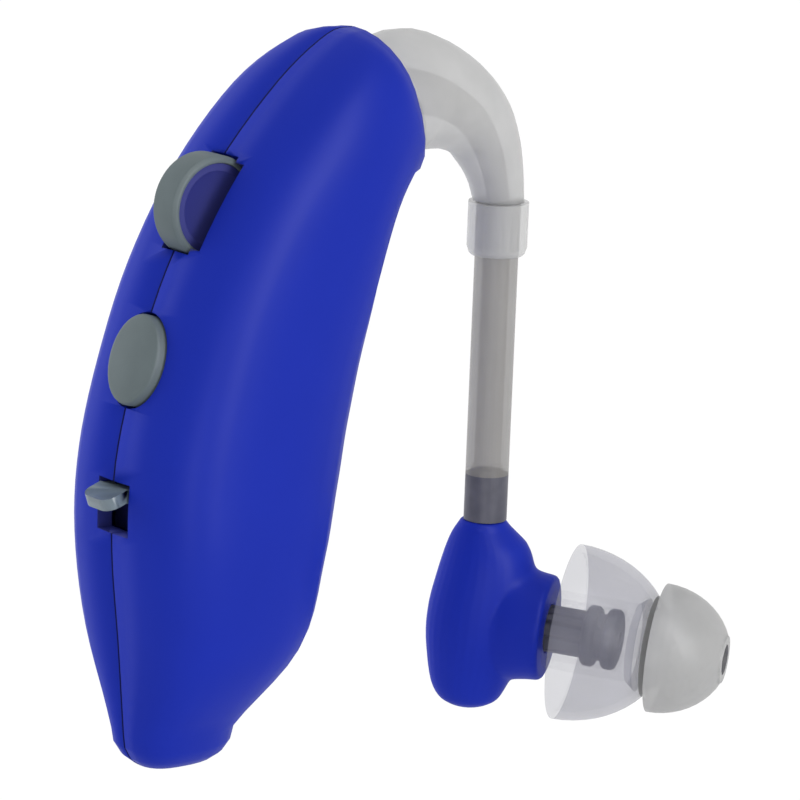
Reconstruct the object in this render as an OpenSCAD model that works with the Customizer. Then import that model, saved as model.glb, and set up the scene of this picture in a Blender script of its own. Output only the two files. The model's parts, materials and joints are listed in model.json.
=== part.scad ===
// Behind-the-ear hearing aid: two-shell housing, ear hook, sound tube, elbow and double-flange ear tip.
// Built upright as it hangs on a left ear: +X is forward, +Z up, -Y the side next to the head.
// The origin is the ear saddle, the point under the hook's bend that rests on top of the ear.

/* [Housing] */
// Height of the housing along its spine, foot to mouth
body_h = 47.7; // [44:0.1:54]
// How far the top of the spine leans forward of its foot
body_lean = 21.5; // [19:0.1:24]
// Deepest section, spine to front
body_d = 17.4; // [16.5:0.1:20]
// Widest section, cheek to cheek
body_w = 14.8; // [14.2:0.1:18]
// Thickness of the moulded walls
wall = 1.2; // [1:0.05:1.5]
// Depth of the rounded foot below the lowest section
foot_round = 2.6; // [1.8:0.1:3]
// Depth of the groove along the parting line
seam_depth = 0.14; // [0.05:0.01:0.2]
// Width of the groove along the parting line
seam_w = 0.16; // [0.08:0.01:0.24]
// Depth of the socket for the ear hook in the mouth
mouth_depth = 2.6; // [2:0.1:3.5]
// Thickness of the wall behind the hook socket
bulkhead = 1.3; // [1:0.1:2]

/* [Volume wheel] */
// Diameter of the wheel
wheel_dia = 7.1; // [6.6:0.1:7.8]
// Width of the grey rim
wheel_w = 2.5; // [2.2:0.1:3]
// Radial thickness of the rim
wheel_rim = 0.5; // [0.4:0.05:0.9]
// Depth of the wheel's axle under the spine surface
wheel_sink = 0.75; // [0.7:0.05:1.2]
// Depth of the dark disc's face below the edge of the rim
wheel_dish = 0.2; // [0.1:0.05:0.5]
// Width of the recess beside the wheel, for the fingertip
wheel_recess = 1.1; // [0.8:0.05:1.3]
// Diameter of the wheel's shaft
shaft_dia = 0.8; // [0.6:0.05:0.8]

/* [Push button] */
// Length of the oval button along the spine
button_l = 6.2; // [5.6:0.1:7]
// Width of the oval button
button_w = 5.1; // [4.4:0.1:5.6]
// Height of the button above the spine surface
button_rise = 0.55; // [0.45:0.05:1]
// Travel of the button
button_travel = 0.4; // [0.2:0.05:0.45]

/* [Power switch] */
// Length of the switch slot along the spine
slot_l = 3.6; // [3.2:0.1:4.6]
// Width of the switch slot
slot_w = 3.4; // [3:0.1:4]
// Thickness of the lever along the spine
lever_t = 0.85; // [0.6:0.05:1.2]
// How far the lever stands out of the housing
lever_out = 1.4; // [1:0.1:2.2]
// Downward slope of the lever
lever_slope = 20; // [0:1:30]

/* [Ear hook] */
// Horizontal reach from the mouth to the tube's axis
hook_reach = 11.1; // [9.5:0.1:12.5]
// Drop from the mouth's centre to the end of the bend
hook_drop = 8.5; // [8:0.1:11]
// Diameter of the hook at its root
hook_dia = 8.7; // [8.2:0.1:9]
// Diameter of the hook at its outlet end
hook_end_dia = 3.6; // [3.4:0.1:4.2]
// Diameter of the hook's bore at the outlet end
hook_bore = 1.6; // [1.2:0.1:1.8]

/* [Sound tube] */
// Outer diameter of the flexible tube
tube_od = 3.1; // [2.9:0.05:3.4]
// Bore of the flexible tube
tube_id = 1.93; // [1.6:0.05:2.1]
// Length of the tube from the hook's shoulder to the elbow
tube_l = 23.2; // [20:0.1:34]
// Tilt of the tube, foot toward the housing
tube_tilt = 2.8; // [0:0.1:5]
// Outer diameter of the collar on the tube's upper end
collar_od = 4.3; // [4.2:0.05:5]
// Length of the collar
collar_l = 3.8; // [3:0.1:5]
// Outer diameter of the spigots that the tube is pushed over
spigot_od = 2.3; // [2.2:0.05:2.5]
// Bore of the spigots
spigot_id = 1.4; // [1:0.1:1.5]
// Length of a spigot inside the tube
spigot_l = 3.3; // [2.5:0.1:3.6]

/* [Elbow] */
// Height of the elbow from foot to tube
elbow_h = 14; // [13:0.1:16]
// Width of the elbow's body
elbow_w = 7.8; // [7.4:0.1:9]
// Diameter of the neck that faces the ear
neck_dia = 7.7; // [7:0.1:8]
// Length of the neck from the tube's axis
neck_l = 5.1; // [4.6:0.1:6]
// Turn of the neck toward the head
tip_yaw = 55; // [0:1:90]
// Droop of the neck below level
tip_droop = 4; // [0:1:12]

/* [Ear tip] */
// Diameter of the large flange
flange_dia = 12.7; // [11:0.1:14]
// Length of the large flange
flange_l = 6.7; // [5.5:0.1:7.5]
// Diameter of the small flange
cap_dia = 9.3; // [8.4:0.1:10]
// Length of the small flange to the tip's nose
cap_l = 4.9; // [4.6:0.1:6]
// Thickness of the silicone flanges
flange_t = 0.6; // [0.45:0.05:0.8]
// Diameter of the sound outlet
outlet_dia = 2.2; // [1.8:0.1:2.4]
// Outer diameter of the nozzle's shaft
nozzle_dia = 3.4; // [3.2:0.1:3.6]
// Outer diameter of the nozzle's two ridges
ridge_dia = 4.4; // [4:0.1:4.6]

/* [Battery] */
// Diameter of the cell
cell_dia = 7.9; // [7.7:0.05:7.95]
// Thickness of the cell
cell_t = 3.6; // [3.4:0.05:3.65]
// Diameter of the door's hinge pin
pin_dia = 1; // [0.8:0.05:1.1]
// How far the door opens
door_open = 80; // [60:1:85]
// Thickness of the door's skin
door_skin = 1; // [0.8:0.05:1.2]

/* [Clearances] */
// Gap on a turning or sliding fit, on the radius
fit_gap = 0.05; // [0.03:0.01:0.08]
// Gap between a moving piece and the housing
run_gap = 0.2; // [0.12:0.01:0.25]
// Gap where two fixed pieces are assembled
seat_gap = 0.04; // [0.02:0.01:0.08]

/* [Hidden] */
$fn = 40;

// One overrun serves every cut
over = 1;

// Housing form: stations from the foot to the mouth, as shares of the sizes above
spine_rise_share = [0.023, 0.159, 0.299, 0.423, 0.551, 0.688, 0.82, 0.927, 0.984, 0.99];
spine_lean_share = [0.005, -0.009, -0.027, -0.007, 0.073, 0.202, 0.399, 0.642, 0.84, 0.947];
depth_share = [0.508, 0.802, 0.937, 0.991, 0.978, 0.951, 0.875, 0.734, 0.683, 0.672];
width_share = [0.424, 0.875, 1.005, 1, 0.987, 0.977, 0.982, 0.98, 0.849, 0.64];
section_tilt = [5, 8.2, 9.7, 12.4, 20.3, 31.2, 42.8, 54.6, 63.9, 68.6];
// Where the widest line of a section lies, from the spine to the front
crown_share = 0.36;
// Fullness of a section toward the spine and toward the front
spine_fullness = [2.6, 3, 3, 3, 3, 3, 2.9, 2.6, 2.3, 2.1];
front_fullness = [2.2, 2.4, 2.4, 2.4, 2.4, 2.4, 2.4, 2.3, 2.2, 2.1];
span_steps = 5;
arc_steps = 12;
foot_steps = 4;
foot_turn = 86;

// Stations of the fitted pieces along the spine, from foot to mouth
wheel_share = 0.628;
button_share = 0.456;
slot_share = 0.277;
hinge_share = 0.075;
cell_share = 0.18;

function blend4(a, b, c, d, t) =
    0.5 * (2 * b + (c - a) * t + (2 * a - 5 * b + 4 * c - d) * t * t
        + (3 * b - a - 3 * c + d) * t * t * t);
function along(tab, u) =
    let (n = len(tab) - 1, k = max(0, min(floor(u * n), n - 1)), t = u * n - k,
        a = k > 0 ? tab[k - 1] : 2 * tab[0] - tab[1],
        d = k + 2 <= n ? tab[k + 2] : 2 * tab[n] - tab[n - 1])
    blend4(a, tab[k], tab[k + 1], d, t);

// Spine and front edge of the housing in the middle plane, as [forward, up]
function spine_at(u) = [body_lean * along(spine_lean_share, u), body_h * along(spine_rise_share, u)];
function depth_at(u) = body_d * along(depth_share, u);
function half_w_at(u) = body_w / 2 * along(width_share, u);
function tilt_at(u) = along(section_tilt, u);
function chord_dir(u) = [cos(tilt_at(u)), -sin(tilt_at(u))];
function front_at(u) = spine_at(u) + depth_at(u) * chord_dir(u);
function unit(v) = v / norm(v);
step_u = 0.004;
function spine_dir(u) = unit(spine_at(u + step_u) - spine_at(u - step_u));
function front_dir(u) = unit(front_at(u + step_u) - front_at(u - step_u));

// Egg-shaped section: [share from spine to front, share of the half width] at a turn from the spine
function egg(a, u) =
    let (c = cos(a), s = sin(a), e = along(c > 0 ? spine_fullness : front_fullness, u),
        cc = sign(c) * pow(abs(c), 2 / e), ss = sign(s) * pow(abs(s), 2 / e))
    [crown_share - cc * (c > 0 ? crown_share : 1 - crown_share), ss];
// Point of the housing's skin, moved inward by inset
function skin(u, a, inset, side) =
    let (e = egg(a, u), p = spine_at(u) + chord_dir(u) * (inset + e[0] * (depth_at(u) - 2 * inset)))
    [p[0], side * e[1] * (half_w_at(u) - inset), p[1]];
// Point of the rounded foot, which shrinks the lowest section as it goes down
function foot_skin(f, a, inset, side) =
    let (e = egg(a, 0), in = foot_round * (1 - cos(f)) + inset, c = chord_dir(0),
        p = spine_at(0) + c * (in + e[0] * (depth_at(0) - 2 * in)) + [-c[1], c[0]] * -(foot_round * sin(f)))
    [p[0], side * e[1] * (half_w_at(0) - in), p[1]];
// Half section of the outer form with its share of the parting-line groove
function grooved(side, low_spine, low_front, list) =
    let (n = len(list) - 1, w = [0, side * seam_w / 2, 0])
    concat([low_spine], [list[0] + w], [for (k = [1:n - 1]) list[k]], [list[n] + w], [low_front]);
function half_ring(u, side) =
    grooved(side, skin(u, 0, seam_depth, side), skin(u, 180, seam_depth, side),
        [for (k = [0:arc_steps]) skin(u, k * 180 / arc_steps, 0, side)]);
function foot_ring(f, side) =
    grooved(side, foot_skin(f, 0, seam_depth, side), foot_skin(f, 180, seam_depth, side),
        [for (k = [0:arc_steps]) foot_skin(f, k * 180 / arc_steps, 0, side)]);
function full_ring(u, inset) = [for (k = [0:2 * arc_steps - 1]) skin(u, k * 180 / arc_steps, inset, 1)];

// Closed solid through a list of rings with equal counts of points
module loft(rings) {
    n = len(rings[0]);
    m = len(rings);
    polyhedron(points = [for (r = rings) each r],
        faces = concat([[for (k = [0:n - 1]) k]],
            [for (i = [0:m - 2], k = [0:n - 1]) each
                [[i * n + k, (i + 1) * n + k, (i + 1) * n + (k + 1) % n],
                 [i * n + k, (i + 1) * n + (k + 1) % n, i * n + (k + 1) % n]]],
            [[for (k = [n - 1:-1:0]) (m - 1) * n + k]]), convexity = 6);
}
function order(rings, side) = side > 0 ? rings : [for (i = [len(rings) - 1:-1:0]) rings[i]];

// Outer form of one shell, flat on the parting plane
stations = 9 * span_steps;
module half_form(side) {
    loft(order(concat([for (j = [foot_steps:-1:1]) foot_ring(foot_turn * j / foot_steps, side)],
        [for (i = [0:stations]) half_ring(i / stations, side)]), -side));
}
// Whole outer form between two stations, for pieces that are flush with the skin
module skin_form(u0, u1, steps, inset) {
    loft([for (i = [steps:-1:0]) full_ring(u0 + (u1 - u0) * i / steps, inset)]);
}
cavity_low_share = 0.03;
cavity_steps = 18;
function mid_at(u) = (spine_at(u) + front_at(u)) / 2;
// The inside ends at the wall behind the hook socket
crown_from_share = 0.15;
crown_len = norm(mid_at(1) - mid_at(1 - crown_from_share));
cavity_top = 1 - (mouth_depth + bulkhead) * crown_from_share / crown_len;
module cavity() skin_form(cavity_low_share, cavity_top, cavity_steps, wall);

// Places a piece on the spine, its X up the spine and its Z out of the housing
module on_spine(u, sink = 0) {
    p = spine_at(u);
    t = spine_dir(u);
    translate([p[0] + t[1] * sink, 0, p[1] - t[0] * sink]) rotate([0, atan2(-t[1], t[0]), 0]) children();
}
// Places a piece at a share of the depth behind the spine
function inside_at(u, s) = spine_at(u) + chord_dir(u) * depth_at(u) * s;
module in_plane(p) translate([p[0], 0, p[1]]) children();
// Cylinder along Y between two distances from the parting plane
module rod(r, y0, y1) translate([0, y1, 0]) rotate([90, 0, 0]) cylinder(r = r, h = y1 - y0);
module placed() translate([-saddle[0], 0, -saddle[1]]) children();

// Mouth: centre and outward direction of the socket that holds the ear hook
mouth = mid_at(1);
mouth_out = [-chord_dir(1)[1], chord_dir(1)[0]];
mouth_turn = atan2(mouth_out[0], mouth_out[1]);
module at_mouth(s = 0) in_plane(mouth) rotate([0, mouth_turn, 0]) translate([0, 0, s]) children();

// Ear hook: centreline from the mouth to the tube, as shares of its reach and drop, and its taper
hook_x_share = [0, 0.235, 0.555, 0.775, 0.893, 0.962, 1];
hook_z_share = [0, -0.05, 0.08, 0.28, 0.51, 0.74, 1];
hook_taper_share = [1, 0.98, 0.68, 0.42, 0.25, 0.1, 0];
function hook_at(v) = mouth + [hook_reach * along(hook_x_share, v), -hook_drop * along(hook_z_share, v)];
function hook_dir(v) = v < step_u ? mouth_out : v > 1 - step_u ? tube_dir
    : unit(hook_at(v + step_u) - hook_at(v - step_u));
function hook_r_at(v) = hook_end_dia / 2 + (hook_dia - hook_end_dia) / 2 * along(hook_taper_share, v);
saddle_share = 0.34;
saddle_out = [hook_dir(saddle_share)[1], -hook_dir(saddle_share)[0]];
saddle = hook_at(saddle_share) + saddle_out * hook_r_at(saddle_share);
// Ring of a round tube that bends in the middle plane
function bend_ring(p, t, r, n) = [for (k = [0:n - 1]) let (a = 360 * k / n)
    [p[0] - t[1] * r * cos(a), r * sin(a), p[1] + t[0] * r * cos(a)]];

// Tube: local Z runs down the tube from the hook's shoulder
tube_dir = [-sin(tube_tilt), -cos(tube_tilt)];
tube_top = hook_at(1);
module on_tube(t = 0) in_plane(tube_top + tube_dir * t) rotate([0, 180 + tube_tilt, 0]) children();

// Alignment dowels: station and share of the depth; the last two stand in solid plastic
dowel_share = [[0.4, 0.72], [0.66, 0.8], [0.855, 0.17], [0.004, 0.5]];
dowel_dia = 1;
dowel_l = 1.4;
boss_dia = 2.2;
module at_share(q) in_plane(inside_at(q[0], q[1])) children();
module at_dowels(n) for (k = [0:n - 1]) at_share(dowel_share[k]) children();

// Hinge of the battery door, just under the front surface; local X runs down the front, Z out of it
knuckle_dia = 2.7;
front_out = [front_dir(hinge_share)[1], -front_dir(hinge_share)[0]];
hinge = front_at(hinge_share) - knuckle_dia / 2 * front_out;
hinge_turn = atan2(front_out[0], front_out[1]);
module at_hinge(turn = 0) in_plane(hinge) rotate([0, hinge_turn + turn, 0]) children();
door_floor = 0.5;
door_half = cell_t / 2 + door_floor + seat_gap;
bay_half = door_half + run_gap;
cup_t = 0.7;
cup_r = cell_dia / 2 + seat_gap + cup_t;
cell_out = [front_dir(cell_share)[1], -front_dir(cell_share)[0]];
cell_p = front_at(cell_share) - (cell_dia / 2 + door_skin + 3 * seat_gap) * cell_out;
door_r = norm(cell_p - hinge) + cup_r + run_gap;
// Depth under the hinge's axis to which the opening for the door is cut
bay_in = 5.5 * wall;

// Housing shells, with the opening for the battery door
module bay_cut() {
    intersection() {
        at_hinge() rod(door_r + run_gap, -bay_half, bay_half);
        at_hinge() translate([-door_r - over, -bay_half, -bay_in])
            cube([door_r + over, 2 * bay_half, bay_in + door_r]);
    }
    at_hinge(door_open) translate([-door_r / 2, -bay_half, -knuckle_dia / 2])
        cube([door_r / 2, 2 * bay_half, knuckle_dia + run_gap]);
    at_hinge() rod(knuckle_dia / 2 + run_gap, -bay_half - seat_gap, bay_half + seat_gap);
}
wheel_r = wheel_dia / 2;
module wheel_place() on_spine(wheel_share, wheel_sink) children();
function oval(l, w, z) = [for (k = [0:35]) [l / 2 * cos(k * 10), w / 2 * sin(k * 10), z]];

// Depth from the parting plane to the inside of the wall at the widest line
cheek = body_w / 2 - wall;
post_dia = 2;
// The posts may reach into the wall between these stations
post_share = [0.02, 0.99];
post_steps = 10;
module inner_posts(side) {
    at_dowels(2) rod(boss_dia / 2, side > 0 ? 0 : -cheek - wall / 2, side > 0 ? cheek + wall / 2 : 0);
    if (side < 0) {
        in_plane(cell_p) rod(post_dia / 2, -cheek - wall / 2, -bay_half - contact_t);
    }
    if (side > 0) {
        wheel_place() rod(boss_dia / 2, shaft_from, shaft_from + shaft_in + wall);
        at_mic() rod(mic_dia / 2 + mic_boot_t, mic_y + mic_t + mic_boot_t + seat_gap, cheek + wall / 2);
        for (q = board_post_share)
            at_share(q) rod(post_dia / 2, board_y + board_t + seat_gap, cheek + wall / 2);
        in_plane(cell_p) rod(post_dia / 2, bay_half + contact_t, cheek + wall / 2);
    }
    at_receiver() rod(post_dia / 2, side > 0 ? boot_half : -cheek - wall / 2,
        side > 0 ? cheek + wall / 2 : -boot_half);
    at_hinge() rod(pin_dia / 2 + wall, side > 0 ? bay_half : -bay_half - pin_dia - wall,
        side > 0 ? bay_half + pin_dia + wall : -bay_half);
}
module shell(side) {
    difference() {
        union() {
            difference() {
                half_form(side);
                cavity();
            }
            intersection() {
                inner_posts(side);
                skin_form(post_share[0], post_share[1], post_steps, wall / 2);
            }
        }
        wheel_place() rod(wheel_r + run_gap, -wheel_w / 2 - run_gap, wheel_w / 2 + run_gap);
        wheel_place() rod(wheel_r - wheel_rim / 2, -wheel_w / 2 - wheel_recess, 0);
        wheel_place() rod(shaft_dia / 2 + fit_gap, 0, shaft_from + shaft_in + seat_gap);
        on_spine(button_share) loft([oval(button_l + 2 * run_gap, button_w + 2 * run_gap, -2 * wall),
            oval(button_l + 2 * run_gap, button_w + 2 * run_gap, over)]);
        on_spine(slot_share) translate([-slot_l / 2, -slot_w / 2, -2 * wall])
            cube([slot_l, slot_w, 2 * wall + over]);
        at_mouth(-mouth_depth) cylinder(r = hook_dia / 2 + seat_gap, h = mouth_depth + over);
        at_mouth(-mouth_depth - bulkhead - over)
            cylinder(r = nozzle_od / 2 + seat_gap, h = bulkhead + 2 * over);
        at_mouth(-mouth_depth - 2 * bulkhead)
            cylinder(r = nozzle_od / 2 + nozzle_flange_t + seat_gap, h = bulkhead);
        bay_cut();
        at_hinge() rod(pin_dia / 2 + seat_gap, -door_half - pin_dia, door_half + pin_dia);
        if (side < 0) at_dowels(4) rod(dowel_dia / 2 + seat_gap, -dowel_l - seat_gap, over);
        if (side > 0) mic_ports();
    }
    if (side > 0) at_dowels(4) rod(dowel_dia / 2, -dowel_l, dowel_l);
}
body_blue = "#1d30a6";
module left_shell() color(body_blue) shell(1);
module right_shell() color(body_blue) shell(-1);

// Volume wheel, its disc, shaft and control
wheel_bevel = 0.25;
module spun() rotate([90, 0, 0]) rotate_extrude($fn = 64) children();
module volume_wheel() color("#697476") wheel_place() spun() polygon([
    [wheel_r - wheel_rim, -wheel_w / 2], [wheel_r - wheel_bevel, -wheel_w / 2],
    [wheel_r, -wheel_w / 2 + wheel_bevel], [wheel_r, wheel_w / 2 - wheel_bevel],
    [wheel_r - wheel_bevel, wheel_w / 2], [wheel_r - wheel_rim, wheel_w / 2]]);
module wheel_disc() color("#151c48") wheel_place() difference() {
    rod(wheel_r - wheel_rim - seat_gap / 2, -wheel_w / 2 + wheel_dish, wheel_w / 2 - wheel_dish);
    rod(shaft_dia / 2 + seat_gap / 2, -wheel_w / 4 - seat_gap, wheel_w);
}
// Where the shaft's boss starts, from the parting plane, and how deep the shaft stands in it
shaft_from = wheel_w / 2 + 2 * run_gap;
shaft_in = 0.6;
board_y = 3.4;
board_t = 0.6;
module wheel_shaft() color("#b9bcc0") wheel_place()
    rod(shaft_dia / 2, -wheel_w / 4, shaft_from + shaft_in);
// The control's body cradles the inner half of the wheel
control_side = 1;
control_w = wheel_w + 2 * control_side;
module volume_control() color("#303030") wheel_place() difference() {
    translate([-wheel_r * 0.8, -control_w / 2, -wheel_r - wall])
        cube([wheel_r * 1.6, control_w / 2 + board_y, wheel_r * 0.75]);
    rod(wheel_r + run_gap, -wheel_w / 2 - run_gap, wheel_w / 2 + run_gap);
}

// Push button and the switch under it
button_lip = 0.35;
lip_t = 0.4;
module push_button() color("#697476") on_spine(button_share) loft([
    oval(button_l + 2 * button_lip, button_w + 2 * button_lip, -wall - lip_t - button_lip),
    oval(button_l + 2 * button_lip, button_w + 2 * button_lip, -wall - button_lip),
    oval(button_l, button_w, -wall - button_lip), oval(button_l, button_w, button_rise * 0.4),
    oval(button_l - lip_t / 2, button_w - lip_t / 2, button_rise * 0.8),
    oval(button_l - 2 * lip_t, button_w - 2 * lip_t, button_rise)]);
switch_top = -wall - lip_t - button_lip - button_travel - fit_gap;
switch_l = button_l * 0.7;
switch_h = button_l * 0.25;
plunger_h = button_travel * 0.75;
plunger_dia = button_w / 3;
module button_switch() color("#303030") on_spine(button_share) {
    translate([-switch_l / 2, -plunger_dia, switch_top - plunger_h - switch_h])
        cube([switch_l, plunger_dia + board_y, switch_h]);
    translate([0, 0, switch_top - plunger_h - switch_h / 2])
        cylinder(d = plunger_dia, h = plunger_h + switch_h / 2);
}

// Power lever and its slide switch
lever_w = slot_w - 2 * run_gap;
lever_top = slot_l / 2 - 2 * run_gap;
lever_travel = slot_l - lever_t - 4 * run_gap;
stem_w = lever_w * 0.4;
module power_lever() color("#6e7c85") on_spine(slot_share) {
    translate([lever_top - lever_t, -lever_w / 2, -2 * wall]) cube([lever_t, lever_w, 2 * wall]);
    translate([lever_top - lever_t, -lever_w / 2, 0]) rotate([0, -lever_slope, 0])
        translate([0, 0, -lever_t / 2]) cube([lever_t, lever_w, lever_out + lever_t / 2]);
    translate([lever_top - lever_t, -stem_w / 2, -3.2 * wall]) cube([lever_t, stem_w, 2 * wall]);
}
module slide_switch() color("#303030") on_spine(slot_share) difference() {
    translate([-slot_l / 2 - wall / 2, -slot_w / 2 - wall / 2, -4.2 * wall])
        cube([slot_l + wall, slot_w / 2 + wall / 2 + board_y, 2 * wall - run_gap]);
    translate([-slot_l / 2, -stem_w / 2 - run_gap, -3.4 * wall])
        cube([slot_l, stem_w + 2 * run_gap, 2 * wall]);
}

// Circuit board and its parts
board_u_share = [0.3, 0.65];
board_inset_share = [0.2, 0.5];
board_post_share = [[0.34, 0.3], [0.6, 0.5]];
board_steps = 12;
module circuit_board() color("#1c6b3a") {
    board_span = board_u_share[1] - board_u_share[0];
    us = [for (i = [0:board_steps]) board_u_share[0] + board_span * i / board_steps];
    translate([0, board_y + board_t, 0]) rotate([90, 0, 0]) linear_extrude(height = board_t)
        polygon(concat([for (u = us) inside_at(u, board_inset_share[0])],
            [for (i = [board_steps:-1:0]) inside_at(us[i], board_inset_share[1])]));
}
chip_l = 3.6;
chip_t = 1;
module on_board(u, s) at_share([u, s]) translate([0, board_y, 0]) rotate([0, tilt_at(u), 0]) children();
module amplifier_chip() color("#202020") on_board(0.42, 0.46) translate([-chip_l / 2, -chip_t, -chip_l / 2])
    cube([chip_l, chip_t, chip_l]);
capacitor_share = [0.34, 0.5];
capacitor_dia = 1.8;
capacitor_l = 1.6;
module capacitor() color("#b08d57") for (u = capacitor_share)
    on_board(u, 0.5) rod(capacitor_dia / 2, -capacitor_l, 0);

// Microphone behind two ports in the outer cheek
mic_share = [0.745, 0.42];
mic_dia = 3.2;
mic_t = 1.1;
mic_boot_t = 0.5;
port_dia = 0.7;
mic_y = half_w_at(mic_share[0]) - 1.6 * wall - mic_t - 2 * mic_boot_t;
module at_mic() at_share(mic_share) children();
module mic_ports() at_mic() for (s = [-1, 1])
    translate([s * port_dia, 0, 0]) rod(port_dia / 2, mic_y, body_w);
module microphone() color("#b9bcc0") at_mic() rod(mic_dia / 2, mic_y, mic_y + mic_t);
module microphone_boot() color("#262626") at_mic() difference() {
    rod(mic_dia / 2 + mic_boot_t, mic_y - mic_boot_t, mic_y + mic_t + mic_boot_t);
    rod(mic_dia / 2 + seat_gap, mic_y - seat_gap, mic_y + mic_t + seat_gap);
    for (s = [-1, 1]) translate([s * port_dia, 0, 0]) rod(port_dia / 2, mic_y, body_w);
    rod(mic_dia / 4, 0, mic_y);
}

// Receiver, the loudspeaker that drives the hook
receiver_share = [0.68, 0.55];
receiver_l = 6;
receiver_w = 4;
receiver_t = 3;
receiver_turn = -58;
spout_dia = 1.2;
spout_l = 0.9;
boot_t = 0.5;
boot_half = receiver_w / 2 + boot_t;
function turned(a) = [cos(a), -sin(a)];
receiver_p = inside_at(receiver_share[0], receiver_share[1]);
module at_receiver() in_plane(receiver_p) rotate([0, receiver_turn, 0]) children();
module receiver() color("#b9bcc0") at_receiver() difference() {
    union() {
        translate([-receiver_l / 2, -receiver_w / 2, -receiver_t / 2])
            cube([receiver_l, receiver_w, receiver_t]);
        translate([receiver_l / 2, 0, 0]) rotate([0, 90, 0]) cylinder(d = spout_dia, h = spout_l);
    }
    translate([receiver_l / 2, 0, 0]) rotate([0, 90, 0]) cylinder(d = spout_dia / 2, h = spout_l + over);
}
module receiver_boot() color("#303030") at_receiver() difference() {
    translate([-receiver_l / 4, -boot_half, -receiver_t / 2 - boot_t])
        cube([receiver_l / 2, 2 * boot_half, receiver_t + 2 * boot_t]);
    translate([-receiver_l, -receiver_w / 2 - seat_gap, -receiver_t / 2 - seat_gap])
        cube([2 * receiver_l, receiver_w + 2 * seat_gap, receiver_t + 2 * seat_gap]);
}
// Flexible link between the receiver's spout and the hook's nozzle
nozzle_od = 3.2;
nozzle_bore = 1.4;
nozzle_flange_t = 0.6;
nipple_l = 0.8;
link_a = receiver_p + turned(receiver_turn) * (receiver_l / 2 + seat_gap);
link_b = mouth - mouth_out * (mouth_depth + bulkhead + nozzle_flange_t + seat_gap);
link_steps = 10;
link_sides = 12;
function link_at(v) = let (c = norm(link_b - link_a) / 2,
        p = [link_a, link_a + turned(receiver_turn) * c, link_b - mouth_out * c, link_b], w = 1 - v)
    p[0] * pow(w, 3) + p[1] * 3 * w * w * v + p[2] * 3 * w * v * v + p[3] * pow(v, 3);
function link_dir(v) = v < step_u ? turned(receiver_turn) : v > 1 - step_u ? mouth_out
    : unit(link_at(v + step_u) - link_at(v - step_u));
module link(r, more) loft([for (i = [link_steps:-1:0])
    let (v = i / link_steps, e = v == 0 ? -more : v == 1 ? more : 0)
    bend_ring(link_at(v) + link_dir(v) * e, link_dir(v), r, link_sides)]);
link_bore = spout_dia / 2 + 3 * seat_gap;
link_t = 0.4;
module inner_tube() color("#d8d8d4") difference() {
    link(link_bore + link_t, 0);
    link(link_bore, over);
}
module hook_nozzle() color("#b9bcc0") difference() {
    union() {
        at_mouth(-mouth_depth - bulkhead - nozzle_flange_t) {
            cylinder(r = nozzle_od / 2 + nozzle_flange_t, h = nozzle_flange_t);
            cylinder(d = nozzle_od, h = mouth_depth + bulkhead);
        }
        at_mouth(-mouth_depth - bulkhead - nozzle_flange_t - nipple_l)
            cylinder(d = spout_dia, h = nipple_l + nozzle_flange_t / 2);
    }
    at_mouth(-mouth_depth - bulkhead) cylinder(d = nozzle_bore, h = mouth_depth + bulkhead);
    at_mouth(-mouth_depth - bulkhead - 2 * nipple_l) cylinder(d = spout_dia / 2, h = 3 * nipple_l);
}

// Ear hook with its tapering bore
hook_sides = 24;
hook_steps = 24;
module ear_hook() color("#b7b7b7") difference() {
    union() {
        at_mouth(-mouth_depth + seat_gap) cylinder(r = hook_dia / 2 - seat_gap, h = mouth_depth);
        loft([for (i = [hook_steps:-1:0]) bend_ring(hook_at(i / hook_steps), hook_dir(i / hook_steps),
            hook_r_at(i / hook_steps), hook_sides)]);
        on_tube(-over) cylinder(d = spigot_od, h = over + spigot_l);
    }
    at_mouth(-mouth_depth) cylinder(r = nozzle_od / 2 + seat_gap, h = mouth_depth + over / 4);
    loft([for (i = [hook_steps / 2:-1:0]) let (v = 2 * i / hook_steps) bend_ring(hook_at(v), hook_dir(v),
        hook_bore / 2 + (nozzle_od - hook_bore) / 2 * along(hook_taper_share, v), hook_sides / 2)]);
    on_tube(-over / 4) cylinder(d = spigot_id, h = spigot_l + over);
}

// Sound tube and collar
flare_l = 0.6;
stem_in = 3.6;
module sound_tube() color("#a5a4a0") on_tube(seat_gap) difference() {
    length = tube_l - seat_gap - fit_gap;
    cylinder(d = tube_od, h = length);
    translate([0, 0, -over]) cylinder(d = tube_id, h = length + 2 * over);
    translate([0, 0, -over]) cylinder(r = spigot_od / 2 + seat_gap, h = over + spigot_l);
    translate([0, 0, spigot_l]) cylinder(r1 = spigot_od / 2 + seat_gap, r2 = tube_id / 2, h = flare_l);
    translate([0, 0, length - stem_in]) cylinder(r = spigot_od / 2 + fit_gap, h = stem_in + over);
    translate([0, 0, length - stem_in - flare_l])
        cylinder(r1 = tube_id / 2, r2 = spigot_od / 2 + fit_gap, h = flare_l);
}
collar_bevel = 0.3;
module tube_collar() color("#c3c3c3") on_tube(seat_gap) rotate_extrude()
    polygon([[tube_od / 2 + seat_gap, 0], [collar_od / 2, 0], [collar_od / 2, collar_l - 2 * collar_bevel],
        [collar_od / 2 - collar_bevel / 2, collar_l - collar_bevel / 2],
        [collar_od / 2 - collar_bevel, collar_l], [tube_od / 2 + seat_gap, collar_l]]);

// Elbow that turns the sound into the ear
elbow_rise_share = [0, 0.015, 0.05, 0.125, 0.255, 0.4, 0.55, 0.69, 0.8, 0.875, 0.93, 0.98, 1];
elbow_half_share = [0.11, 0.19, 0.285, 0.36, 0.437, 0.487, 0.49, 0.465, 0.425, 0.375, 0.305, 0.23, 0.205];
elbow_shift_share = [-0.09, -0.09, -0.088, -0.085, -0.05, -0.022, 0.002, 0.033, 0.045, 0.037, 0.008, -0.012, -0.015];
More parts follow.
